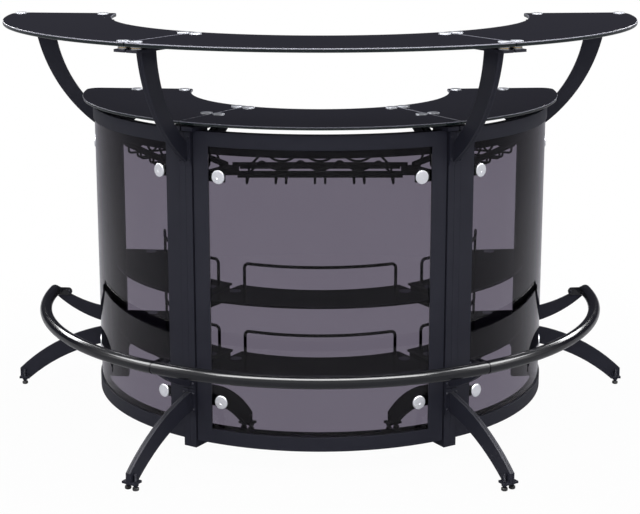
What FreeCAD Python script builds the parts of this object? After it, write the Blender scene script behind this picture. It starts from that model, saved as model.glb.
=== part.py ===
import FreeCAD, Part
import math
import os
import re

import Sketcher

# A home bar made of three equal curved units that stand side by side round one upright axis.
# The front of the middle unit faces -Y. Lengths are millimetres and angles degrees.

doc = FreeCAD.newDocument("home_bar")
size = doc.addObject("Spreadsheet::Sheet", "size")

# Driving dimensions: name, value, what it measures
DIMENSIONS = (
    ("unit_span", 63.5, "arc that one unit covers"),
    ("seam_clearance", 0.25, "from the seam plane to the metal of a unit"),
    ("glass_seam_gap", 1.0, "from the seam plane to the edge of a glass top"),
    ("joint_overlap", 1.0, "how far welded pieces run into each other"),
    ("upper_top_height", 1065, "floor to the face of the upper top"),
    ("upper_top_thickness", 10, "glass of the upper top"),
    ("upper_outer_radius", 840, "outer edge of the upper top"),
    ("upper_top_depth", 282, "upper top along the radius"),
    ("upper_corner_radius", 45, "rounding at the free end of the upper top"),
    ("upper_inner_margin", 33, "inner fixings of the upper top, from its inner edge"),
    ("upper_outer_margin", 22, "outer fixings of the upper top, from its outer edge"),
    ("upper_standoff_height", 7.5, "puck between the upper top and its bar"),
    ("lower_top_height", 860, "floor to the face of the lower top"),
    ("lower_top_thickness", 8, "glass of the lower top"),
    ("lower_overhang", 23, "outer edge of the lower top, beyond the front of the posts"),
    ("lower_top_depth", 290, "lower top along the radius"),
    ("lower_corner_radius", 35, "rounding at the free end of the lower top"),
    ("lower_inner_margin", 21, "inner fixings of the lower top, from its inner edge"),
    ("lower_outer_margin", 138, "outer fixings of the lower top, from its outer edge"),
    ("lower_standoff_height", 6, "puck between the lower top and its bearer"),
    ("fixing_seam_offset", 18, "fixings of the tops, from the seam plane"),
    ("cap_diameter", 30, "disc cap on a glass top"),
    ("cap_thickness", 2, "disc cap on a glass top"),
    ("standoff_diameter", 26, "puck under a glass top"),
    ("stem_diameter", 8, "screw stem of a disc cap"),
    ("hole_clearance", 0.4, "how much wider a hole is than its screw"),
    ("post_face_radius", 617, "front face of a post, from the axis"),
    ("post_depth", 68, "post tube along the radius"),
    ("post_width", 18, "post tube across the radius"),
    ("post_wall", 1.5, "wall of the post tube"),
    ("post_bottom", 33, "floor to the foot of a post"),
    ("bearer_height", 10, "flat bar under the lower top"),
    ("bar_height", 6.5, "flat bar under the upper top"),
    ("bar_width", 32, "flat bars under the tops, across the radius"),
    ("bar_seam_offset", 2, "flat bars under the tops, from the seam plane"),
    ("bar_setback", 6, "ends of the flat bars, from the edges of the glass"),
    ("brace_long_reach", 119, "inner end of the knee brace, from the post"),
    ("brace_short_reach", 76, "outer end of the knee brace, from the post"),
    ("brace_upper_drop", 48, "upper corner of the brace on the post, below the bearer"),
    ("brace_lower_drop", 91, "lower corner of the brace on the post, below the bearer"),
    ("brace_thickness", 6, "knee brace plate"),
    ("shelf_front_reach", 17, "front edge of a shelf, beyond the back of the posts"),
    ("shelf_depth", 159, "shelf along the radius"),
    ("shelf_thickness", 6, "glass of a shelf"),
    ("shelf_end_gap", 14, "from the seam plane to the end of a shelf"),
    ("shelf_post_gap", 4, "notch of a shelf, round its post"),
    ("shelf_cap_inset", 62, "shelf caps, from the inner edge of the shelf"),
    ("shelf_cap_offset", 39, "shelf caps, from the seam plane"),
    ("shelf_tab_thickness", 5, "tab under a shelf that its cap is screwed to"),
    ("upper_shelf_height", 407, "floor to the face of the upper shelf"),
    ("lower_shelf_height", 229, "floor to the face of the lower shelf"),
    ("shelf_bearer_height", 16, "arm that carries the end of a shelf"),
    ("shelf_bearer_width", 12, "arm that carries the end of a shelf, across the radius"),
    ("gallery_setback", 24, "gallery wire, from the inner edge of its shelf"),
    ("gallery_half_angle", 24.8, "half the arc that the gallery wire follows"),
    ("gallery_height", 68, "top of the gallery wire above its shelf"),
    ("gallery_wire", 8, "diameter of the gallery wire"),
    ("gallery_bend", 12, "bend where a gallery leg turns into its rail"),
    ("frame_setback", 3, "front face of the panel frame, behind the front of the posts"),
    ("frame_depth", 22, "panel frame along the radius"),
    ("frame_bottom", 52, "floor to the foot of the panel frame"),
    ("frame_top_gap", 0.3, "from the panel frame up to the bearer of the lower top"),
    ("frame_rail_height", 36, "top and bottom rails of the panel frame"),
    ("stile_width", 37.7, "stile of the panel frame, across its face"),
    ("head_lip", 20, "lip behind the top of the panel"),
    ("sill_lip", 8, "lip behind the foot of the panel"),
    ("frame_side_gap", 2.5, "from a stile to its post"),
    ("panel_setback", 4, "front of the panel behind the face of its frame"),
    ("panel_thickness", 4, "smoked panel"),
    ("panel_clearance", 1, "panel to the sides of its opening"),
    ("lug_thickness", 6, "lug behind the panel"),
    ("lug_height", 26, "lug behind the panel"),
    ("lug_gap", 0.3, "between the panel and a lug"),
    ("panel_cap_inset", 24.5, "panel cap centre, in from the side of the opening"),
    ("panel_cap_rise", 73, "panel cap centre, in from the rails of the frame"),
    ("panel_cap_diameter", 34, "disc cap on the panel"),
    ("panel_cap_thickness", 4, "disc cap on the panel"),
    ("panel_cap_gap", 0.05, "between a disc cap and the crown of the panel"),
    ("panel_stem_diameter", 6, "screw stem of a panel cap"),
    ("flange_thickness", 4, "bolting flange of an arm, a leg or a bracket"),
    ("arm_thickness", 8, "arm plate across the radius"),
    ("arm_tip_height", 757, "lowest point of an arm on its post"),
    ("arm_root_height", 803, "where the inner edge of an arm leaves its post"),
    ("arm_top_setback", 54, "top of an arm, from the outer edge of the upper top"),
    ("arm_top_width", 55, "top of an arm along the radius"),
    ("arm_outer_bend", 416, "radius of the outer edge of an arm"),
    ("arm_inner_bend", 340, "radius of the inner edge of an arm"),
    ("arm_flange_bottom", 752, "floor to the flange of an arm"),
    ("arm_flange_height", 80, "flange of an arm"),
    ("leg_thickness", 6.5, "leg plate across the radius"),
    ("leg_root_bottom", 128, "lower edge of a leg at its post"),
    ("leg_root_top", 178, "upper edge of a leg at its post"),
    ("leg_reach", 250, "tip of an outer leg, from the front of the posts"),
    ("leg_heel_length", 29, "flat heel under a leg tip"),
    ("leg_bend", 500, "radius of the edges of an outer leg"),
    ("inner_leg_reach", 199, "tip of an inner leg, from the back of the posts"),
    ("inner_bend", 380, "radius of the edges of an inner leg"),
    ("leg_tip_bottom", 17, "floor to the underside of a leg tip"),
    ("leg_tip_top", 45, "floor to the top of a leg tip"),
    ("leg_flange_margin", 8, "flange of a leg beyond the leg's root"),
    ("foot_plate_thickness", 6, "plate at a leg tip that holds the foot"),
    ("foot_plate_width", 19, "plate at a leg tip, across the radius"),
    ("foot_seam_offset", 11.5, "levelling foot, from the seam plane"),
    ("foot_tip_inset", 14.5, "levelling foot, in from the leg tip"),
    ("foot_pad_diameter", 16, "pad of a levelling foot"),
    ("foot_pad_height", 8, "pad of a levelling foot"),
    ("foot_pad_bevel", 1.5, "bevel round the pad of a levelling foot"),
    ("foot_screw_diameter", 8, "screw of a levelling foot"),
    ("foot_screw_top", 42, "floor to the end of the levelling screw"),
    ("foot_running_clearance", 0.08, "round the levelling screw"),
    ("nut_across_flats", 13, "lock nut of a levelling foot"),
    ("nut_height", 5, "lock nut of a levelling foot"),
    ("rail_reach", 140, "centre line of the foot rail, from the front of the posts"),
    ("rail_height", 278, "floor to the centre of the foot rail"),
    ("rail_diameter", 32, "foot rail tube"),
    ("rail_wall", 1.5, "wall of the foot rail tube"),
    ("rail_end_gap", 3, "from the seam plane to the end of a rail tube"),
    ("joiner_clearance", 0.2, "round the sleeve inside the rail tube"),
    ("joiner_half_length", 30, "half the sleeve that joins two rail tubes"),
    ("end_plug_flange", 3, "cap of the plug at a free end of the rail"),
    ("lug_tab_length", 38, "tab on the rail, in from the tube's face"),
    ("lug_tab_thickness", 5, "tab on the rail"),
    ("lug_tab_gap", 0.25, "between the tab on the rail and its bracket"),
    ("bracket_thickness", 6.5, "rail bracket plate"),
    ("bracket_root_bottom", 192, "lower edge of a rail bracket at its post"),
    ("bracket_root_top", 236, "upper edge of a rail bracket at its post"),
    ("bracket_flange_margin", 4, "flange of a rail bracket beyond its root"),
    ("bracket_bend", 330, "radius of the edges of a rail bracket"),
    ("bracket_rail_gap", 1, "between a bracket and the rail tube"),
    ("bolt_diameter", 5, "flange bolts"),
    ("bolt_head_diameter", 9, "flange bolts"),
    ("bolt_head_height", 3, "flange bolts"),
    ("bolt_grip", 10, "shank of a flange bolt under its head"),
    ("bolt_seam_offset", 13.5, "flange bolts, from the seam plane"),
    ("bolt_end_margin", 12, "flange bolts, in from the ends of the flange"),
    ("rack_post_inset", 11, "front bar of the glass rack, from the back of the posts"),
    ("rack_depth", 118, "between the two bars of the glass rack"),
    ("rack_height", 723.5, "floor to the centre of the rack bars"),
    ("rack_bar", 11, "diameter of the rack bars"),
    ("rack_wire", 6, "diameter of the cradle wires"),
    ("rack_end_clearance", 0.5, "from the front bar to the posts"),
    ("cradle_pitch", 95, "from one bottle cradle to the next"),
    ("cradle_peak_rise", 31.5, "corner of a cradle wire above the rack bars"),
    ("cradle_valley_drop", 4, "corner of a cradle wire below the rack bars"),
    ("cradle_valley_bend", 48, "bend under a bottle"),
    ("cradle_peak_bend", 10, "bend between two bottles"),
    ("cradle_end_run", 30, "cradle wire beyond its last peak"),
    ("cross_wire", 6.5, "diameter of the cross wires"),
    ("cross_wire_overlap", 0.4, "weld between a cross wire and its rack bar"),
    ("cross_wire_half", 201, "half the cross wire"),
    ("stem_rail_wire", 6, "diameter of the stemware rails"),
    ("stem_rail_drop", 26.5, "stemware rails below the rack bars"),
    ("stem_rail_bend", 8, "bend at the ends of a stemware rail"),
    ("stem_slot", 25, "between the two rails that a stem slides between"),
    ("stem_rail_pair", 70.5, "between the two rails under one cradle"),
    ("cleat_length", 20, "cleat that carries the front bar, along the radius"),
    ("cleat_width", 16, "cleat that carries the front bar, across the radius"),
    ("cleat_height", 10, "cleat that carries the front bar"),
    ("rack_bearer_height", 14, "arm that carries the rear bar"),
    ("rack_bearer_reach", 16, "arm that carries the rear bar, beyond the bar"),
)
for row, (alias, value, meaning) in enumerate(DIMENSIONS, start=1):
    size.set(f"A{row}", meaning)
    size.set(f"B{row}", str(value))
    size.setAlias(f"B{row}", alias)
doc.recompute()

ALIAS_WORDS = re.compile(r"\b(" + "|".join(alias for alias, value, meaning in DIMENSIONS) + r")\b")

UNITS = (("left", -1), ("front", 0), ("right", 1))
# Every unit has two sides: name, unit, and the hand, 1 where the unit ends clockwise of its middle
SIDES = (
    ("left_end", -1, -1),
    ("left_seam", -1, 1),
    ("front_left", 0, -1),
    ("front_right", 0, 1),
    ("right_seam", 1, -1),
    ("right_end", 1, 1),
)
HANDS = (-1, 1)

HALF = "(unit_span / 2)"


def edge_x(radius, offset):
    """How far to the side a point lies that is at a radius, and at an offset from the seam plane."""
    return f"(sqrt(({radius})^2 - ({offset})^2) * sin({HALF}) - ({offset}) * cos({HALF}))"


def edge_y(radius, offset):
    return f"(-sqrt(({radius})^2 - ({offset})^2) * cos({HALF}) - ({offset}) * sin({HALF}))"


BEHIND = "(1.5 * unit_span - 90)"
LEG_TIP = "(post_face_radius + leg_reach)"
BACK_REACH = f"({LEG_TIP} * sin({BEHIND}) - seam_clearance * cos({BEHIND}))"
AXIS_Y = f"((upper_outer_radius - {BACK_REACH}) / 2)"

POST_BACK = "(post_face_radius - post_depth)"
POST_INSIDE = "(seam_clearance + post_width)"
UPPER_INNER = "(upper_outer_radius - upper_top_depth)"
LOWER_OUTER = "(post_face_radius + lower_overhang)"
LOWER_INNER = f"({LOWER_OUTER} - lower_top_depth)"
TOP_EDGES = {"upper": (UPPER_INNER, "upper_outer_radius"), "lower": (LOWER_INNER, LOWER_OUTER)}
FIXINGS = {
    level: (f"({inner} + {level}_inner_margin)", f"({outer} - {level}_outer_margin)")
    for level, (inner, outer) in TOP_EDGES.items()
}
UPPER_TOP_UNDERSIDE = "(upper_top_height - upper_top_thickness)"
LOWER_TOP_UNDERSIDE = "(lower_top_height - lower_top_thickness)"
BAR_TOP = f"({UPPER_TOP_UNDERSIDE} - upper_standoff_height)"
BAR_BOTTOM = f"({BAR_TOP} - bar_height)"
BEARER_TOP = f"({LOWER_TOP_UNDERSIDE} - lower_standoff_height)"
BEARER_BOTTOM = f"({BEARER_TOP} - bearer_height)"
FRAME_TOP = f"({BEARER_BOTTOM} - frame_top_gap)"
OPENING_TOP = f"({FRAME_TOP} - frame_rail_height)"
OPENING_BOTTOM = "(frame_bottom + frame_rail_height)"
FRAME_FACE = "(post_face_radius - frame_setback)"
FRAME_OFFSET = f"({POST_INSIDE} + frame_side_gap)"
OPENING_HALF = f"({edge_x(FRAME_FACE, FRAME_OFFSET)} - stile_width)"
PANEL_FACE = f"({FRAME_FACE} - panel_setback)"
PANEL_BACK = f"({PANEL_FACE} - panel_thickness)"
LUG_FACE = f"({PANEL_BACK} - lug_gap)"
LUG_BACK = f"({LUG_FACE} - lug_thickness)"
CAP_X = f"({OPENING_HALF} - panel_cap_inset)"
CAP_BEARING = f"asin({CAP_X} / {PANEL_FACE})"
PANEL_CAP_HEIGHTS = (f"({OPENING_BOTTOM} + panel_cap_rise)", f"({OPENING_TOP} - panel_cap_rise)")
FLANGE_FACE = "(post_face_radius + flange_thickness)"
INNER_FLANGE_FACE = f"({POST_BACK} - flange_thickness)"
BOLT_HOLE_RADIUS = "((bolt_diameter + hole_clearance) / 2)"
STEM_HOLE_RADIUS = "((stem_diameter + hole_clearance) / 2)"
PANEL_HOLE_RADIUS = "((panel_stem_diameter + hole_clearance) / 2)"
SCREW_HOLE_RADIUS = "(foot_screw_diameter / 2 + foot_running_clearance)"
LEG_HEEL = f"({LEG_TIP} - leg_heel_length)"
INNER_TIP = f"({POST_BACK} - inner_leg_reach)"
INNER_HEEL = f"({INNER_TIP} + leg_heel_length)"
OUTER_FOOT = f"({LEG_TIP} - foot_tip_inset)"
INNER_FOOT = f"({INNER_TIP} + foot_tip_inset)"
FOOT_PLATE_TOP = "(leg_tip_bottom + foot_plate_thickness)"
TAB_START = "(seam_clearance + bracket_thickness + lug_tab_gap)"
RAIL_RADIUS = "(post_face_radius + rail_reach)"
TAB_BOLT_RADIUS = f"({RAIL_RADIUS} - rail_diameter / 2 - lug_tab_length + bolt_head_diameter)"
SHELF_OUTER = f"({POST_BACK} + shelf_front_reach)"
SHELF_INNER = f"({SHELF_OUTER} - shelf_depth)"
SHELF_NOTCH = f"({POST_BACK} - shelf_post_gap)"
SHELF_NOTCH_OFFSET = f"({POST_INSIDE} + shelf_post_gap)"
SHELF_CAP_ALONG = f"({SHELF_INNER} + shelf_cap_inset)"
CLEAT_MIDDLE = f"({POST_INSIDE} + cleat_width / 2)"
FRONT_BAR_ALONG = f"({POST_BACK} + rack_post_inset)"
RACK_FRONT = f"({FRONT_BAR_ALONG} * cos({HALF}) + {CLEAT_MIDDLE} * sin({HALF}))"
RACK_REAR = f"({RACK_FRONT} - rack_depth)"
SHELF_HEIGHTS = (("upper", "upper_shelf_height"), ("lower", "lower_shelf_height"))

# Where the bolts of each flange sit: face of the flange, and the lower and upper bolt
ARM_BOLTS = (
    "(arm_flange_bottom + bolt_end_margin)",
    "(arm_flange_bottom + arm_flange_height - bolt_end_margin)",
)
LEG_BOLTS = (
    "(leg_root_bottom - leg_flange_margin + bolt_end_margin)",
    "(leg_root_top + leg_flange_margin - bolt_end_margin)",
)
BRACKET_BOLTS = (
    "(bracket_root_bottom - bracket_flange_margin + bolt_end_margin)",
    "(bracket_root_top + bracket_flange_margin - bolt_end_margin)",
)

nodes = []


def cell(expression):
    """The expression with every dimension read from its cell."""
    return ALIAS_WORDS.sub(r"size.\1", expression)


def number(expression):
    value = size.evalExpression(cell(expression))
    return float(getattr(value, "Value", value))


def bind(thing, prop, expression):
    thing.setExpression(prop, cell(expression))


def placed(x="0", y="0", z="0", yaw="0", pitch="0", roll="0"):
    spot = f"create(<<vector>>; {x}; {y}; {z})"
    turn = f"create(<<rotation>>; {yaw}; {pitch}; {roll})"
    return f"create(<<placement>>; {spot}; {turn})"


def pose(expression):
    return size.evalExpression(cell(expression))


def unit_place(index, y=AXIS_Y):
    return placed(y=y, yaw=f"{index} * unit_span")


def side_place(index, hand, y=AXIS_Y):
    """A side's own frame: x along the radius, y across the seam plane, z up."""
    return placed(y=y, yaw=f"({index} + {hand} / 2) * unit_span - 90")


def new_body(label):
    return doc.addObject("PartDesign::Body", label)


def keep(node, place):
    bind(node, "Placement", place)
    nodes.append(node)


def arc_between(start, end, radius, turn):
    """The short arc from start to end that bends to the left or to the right."""
    chord = end - start
    left = FreeCAD.Vector(-chord.y, chord.x, 0).normalize()
    reach = math.sqrt(radius ** 2 - (chord.Length / 2) ** 2)
    centre = (start + end) * 0.5 + left * (reach if turn == "left" else -reach)
    first, last = (start, end) if turn == "left" else (end, start)
    first_angle = math.atan2(first.y - centre.y, first.x - centre.x)
    last_angle = math.atan2(last.y - centre.y, last.x - centre.x)
    if last_angle < first_angle:
        last_angle += 2 * math.pi
    circle = Part.Circle(centre, FreeCAD.Vector(0, 0, 1), radius)
    return Part.ArcOfCircle(circle, first_angle, last_angle)


def closed_outline(body, role, name, corners, lift=None):
    """A sketch through corners (x, y, bend), where bend is None or the (radius, turn) to the next one."""
    sketch = body.newObject("Sketcher::SketchObject", name)
    plane = [feature for feature in body.Origin.OriginFeatures if feature.Role == role][0]
    sketch.AttachmentSupport = [(plane, "")]
    sketch.MapMode = "FlatFace"
    if lift:
        bind(sketch, "AttachmentOffset.Base.z", lift)
    points = [FreeCAD.Vector(number(x), number(y), 0) for x, y, bend in corners]
    ends = []
    for place, (x, y, bend) in enumerate(corners):
        start = points[place]
        end = points[(place + 1) % len(points)]
        if bend is None:
            sketch.addGeometry(Part.LineSegment(start, end), False)
            ends.append((1, 2))
        else:
            radius, turn = bend
            sketch.addGeometry(arc_between(start, end, number(radius), turn), False)
            ends.append((1, 2) if turn == "left" else (2, 1))
    for place in range(len(corners)):
        after = (place + 1) % len(corners)
        joint = Sketcher.Constraint("Coincident", place, ends[place][1], after, ends[after][0])
        sketch.addConstraint(joint)
    for place, (x, y, bend) in enumerate(corners):
        for kind, expression in (("DistanceX", x), ("DistanceY", y)):
            held = Sketcher.Constraint(kind, place, ends[place][0], number(expression))
            bind(sketch, f"Constraints[{sketch.addConstraint(held)}]", expression)
        if bend is not None:
            held = Sketcher.Constraint("Radius", place, number(bend[0]))
            bind(sketch, f"Constraints[{sketch.addConstraint(held)}]", bend[0])
    return sketch


def box_corners(x_low, x_high, y_low, y_high):
    return (
        (x_low, y_low, None),
        (x_high, y_low, None),
        (x_high, y_high, None),
        (x_low, y_high, None),
    )


def pad(body, name, sketch, length, backwards=False):
    feature = body.newObject("PartDesign::Pad", name)
    feature.Profile = sketch
    feature.Reversed = backwards
    bind(feature, "Length", length)
    return feature


def pocket(body, name, sketch, backwards):
    feature = body.newObject("PartDesign::Pocket", name)
    feature.Profile = sketch
    feature.Type = "ThroughAll"
    feature.Reversed = backwards
    return feature


def turned(body, name, profile):
    """A solid of revolution about the upright axis, from corners (radius, height, bend)."""
    sketch = closed_outline(body, "XZ_Plane", name + "_profile", profile)
    feature = body.newObject("PartDesign::Revolution", name)
    feature.Profile = sketch
    feature.ReferenceAxis = (sketch, ["V_Axis"])
    feature.Angle = 360
    return feature


def drill(body, name, radius, depth, place):
    feature = body.newObject("PartDesign::SubtractiveCylinder", name)
    bind(feature, "Radius", radius)
    bind(feature, "Height", depth)
    bind(feature, "Placement", place)
    return feature


def side_plate(body, name, corners, hand, offset, thickness):
    """A plate in a side's frame that starts at an offset from the seam plane and grows into the unit."""
    sketch = closed_outline(body, "XZ_Plane", name + "_outline", corners, lift=f"{hand} * ({offset})")
    return pad(body, name, sketch, thickness, backwards=hand < 0)


def stem_hole(body, hand, along, offset, underside, thickness):
    """A hole for the stem of a cap through glass, at an offset from the seam plane."""
    spot = placed(
        f"{hand} * ({along} * sin({HALF}) - {offset} * cos({HALF}))",
        f"(-{along} * cos({HALF}) - {offset} * sin({HALF}))",
        f"{underside} - joint_overlap",
    )
    drill(body, "stem_hole", STEM_HOLE_RADIUS, f"{thickness} + 2 * joint_overlap", spot)


def side_stem_hole(body, hand, along, offset, underside, thickness):
    """The same hole through a bar or a tab, in its side's own frame."""
    spot = placed(along, f"{-hand} * {offset}", f"{underside} - joint_overlap")
    drill(body, "stem_hole", STEM_HOLE_RADIUS, f"{thickness} + 2 * joint_overlap", spot)


def sector_corners(inner, outer, offset):
    return (
        (f"-{edge_x(inner, offset)}", edge_y(inner, offset), (inner, "left")),
        (edge_x(inner, offset), edge_y(inner, offset), None),
        (edge_x(outer, offset), edge_y(outer, offset), (outer, "right")),
        (f"-{edge_x(outer, offset)}", edge_y(outer, offset), None),
    )


def strip_corners(inner, outer, x_low, x_high):
    """Part of a ring between two upright planes."""
    inner_low = f"-sqrt(({inner})^2 - ({x_low})^2)"
    inner_high = f"-sqrt(({inner})^2 - ({x_high})^2)"
    outer_low = f"-sqrt(({outer})^2 - ({x_low})^2)"
    outer_high = f"-sqrt(({outer})^2 - ({x_high})^2)"
    return (
        (x_low, inner_low, (inner, "left")),
        (x_high, inner_high, None),
        (x_high, outer_high, (outer, "right")),
        (x_low, outer_low, None),
    )


def round_free_corner(body, feature, index, outer, radius):
    """Round the outer corner at the free end of an end unit's top."""
    corner_x = index * number(edge_x(outer, "glass_seam_gap"))
    corner_y = number(edge_y(outer, "glass_seam_gap"))
    doc.recompute()
    for place, edge in enumerate(feature.Shape.Edges, start=1):
        middle = edge.BoundBox.Center
        if edge.BoundBox.DiagonalLength < number(radius):
            if math.hypot(middle.x - corner_x, middle.y - corner_y) < number("joint_overlap"):
                fillet = body.newObject("PartDesign::Fillet", "free_corner")
                fillet.Base = (feature, [f"Edge{place}"])
                bind(fillet, "Radius", radius)


def glass_top(label, index, level):
    """One curved glass top, drilled for the stems of its caps."""
    inner, outer = TOP_EDGES[level]
    thickness = f"{level}_top_thickness"
    underside = f"({level}_top_height - {thickness})"
    body = new_body(label)
    corners = sector_corners(inner, outer, "glass_seam_gap")
    sketch = closed_outline(body, "XY_Plane", "outline", corners, lift=underside)
    glass = pad(body, "glass", sketch, thickness)
    if index:
        round_free_corner(body, glass, index, outer, f"{level}_corner_radius")
    for hand in HANDS:
        for along in FIXINGS[level]:
            stem_hole(body, hand, along, "fixing_seam_offset", underside, thickness)
    keep(body, unit_place(index))


def shelf(label, index, height):
    """A curved glass shelf, notched round the posts and drilled for the stems of its caps."""
    body = new_body(label)
    underside = f"({height} - shelf_thickness)"
    right = [
        (edge_x(radius, offset), edge_y(radius, offset))
        for radius, offset in (
            (SHELF_INNER, "shelf_end_gap"),
            (SHELF_NOTCH, "shelf_end_gap"),
            (SHELF_NOTCH, SHELF_NOTCH_OFFSET),
            (SHELF_OUTER, SHELF_NOTCH_OFFSET),
        )
    ]
    corners = [(x, y, None) for x, y in right] + [(f"-{x}", y, None) for x, y in reversed(right)]
    corners[3] = (*right[3], (SHELF_OUTER, "right"))
    corners[7] = (f"-{right[0][0]}", right[0][1], (SHELF_INNER, "left"))
    sketch = closed_outline(body, "XY_Plane", "outline", corners, lift=underside)
    pad(body, "glass", sketch, "shelf_thickness")
    for hand in HANDS:
        stem_hole(body, hand, SHELF_CAP_ALONG, "shelf_cap_offset", underside, "shelf_thickness")
    keep(body, unit_place(index))


def cap_hole(body, hand, height, start, depth):
    """A hole along the radius through the panel or a lug, for the stem of a panel cap."""
    bearing = f"{hand} * {CAP_BEARING}"
    spot = placed(
        f"{start} * sin({bearing})",
        f"-{start} * cos({bearing})",
        height,
        yaw=f"{bearing} - 90 deg",
        pitch="90",
    )
    drill(body, "cap_hole", PANEL_HOLE_RADIUS, depth, spot)


def panel_frame(label, index):
    """Two stiles and two curved rails, with a lug for the panel in each corner and lips behind its ends."""
    body = new_body(label)
    corners = sector_corners(f"({FRAME_FACE} - frame_depth)", FRAME_FACE, FRAME_OFFSET)
    sketch = closed_outline(body, "XY_Plane", "outline", corners, lift="frame_bottom")
    pad(body, "ring", sketch, f"{FRAME_TOP} - frame_bottom")
    window = box_corners(f"-{OPENING_HALF}", OPENING_HALF, OPENING_BOTTOM, OPENING_TOP)
    pocket(body, "opening", closed_outline(body, "XZ_Plane", "window", window), backwards=True)
    lip_half = f"({OPENING_HALF} + joint_overlap)"
    lip = strip_corners(f"({FRAME_FACE} - frame_depth)", LUG_FACE, f"-{lip_half}", lip_half)
    for lip_height, start in (
        ("sill_lip", f"{OPENING_BOTTOM} - joint_overlap"),
        ("head_lip", f"{OPENING_TOP} - head_lip"),
    ):
        outline = closed_outline(body, "XY_Plane", lip_height + "_outline", lip, lift=start)
        pad(body, lip_height, outline, f"{lip_height} + joint_overlap")
    lug_inner = f"({CAP_X} - panel_cap_diameter / 2)"
    lug_outer = f"({OPENING_HALF} + stile_width / 3)"
    for height in PANEL_CAP_HEIGHTS:
        for hand in HANDS:
            low, high = sorted((f"{hand} * {lug_inner}", f"{hand} * {lug_outer}"), key=number)
            lug = strip_corners(LUG_BACK, LUG_FACE, low, high)
            start = f"{height} - lug_height / 2"
            pad(body, "lug", closed_outline(body, "XY_Plane", "lug_outline", lug, lift=start), "lug_height")
            cap_hole(body, hand, height, f"({LUG_BACK} - joint_overlap)", "lug_thickness + 2 * joint_overlap")
    keep(body, unit_place(index))


def smoked_panel(label, index):
    body = new_body(label)
    half = f"({OPENING_HALF} - panel_clearance)"
    bottom = f"({OPENING_BOTTOM} + panel_clearance)"
    corners = strip_corners(PANEL_BACK, PANEL_FACE, f"-{half}", half)
    sketch = closed_outline(body, "XY_Plane", "outline", corners, lift=bottom)
    pad(body, "sheet", sketch, f"{OPENING_TOP} - panel_clearance - {bottom}")
    for height in PANEL_CAP_HEIGHTS:
        for hand in HANDS:
            start = f"({PANEL_BACK} - joint_overlap)"
            cap_hole(body, hand, height, start, "panel_thickness + 2 * joint_overlap")
    keep(body, unit_place(index))


def bolt_holes(body, hand, heights, start, depth):
    """Holes along the radius for a pair of flange bolts."""
    for height in heights:
        spot = placed(start, f"{-hand} * bolt_seam_offset", height, pitch="90")
        drill(body, "bolt_hole", BOLT_HOLE_RADIUS, depth, spot)


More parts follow.
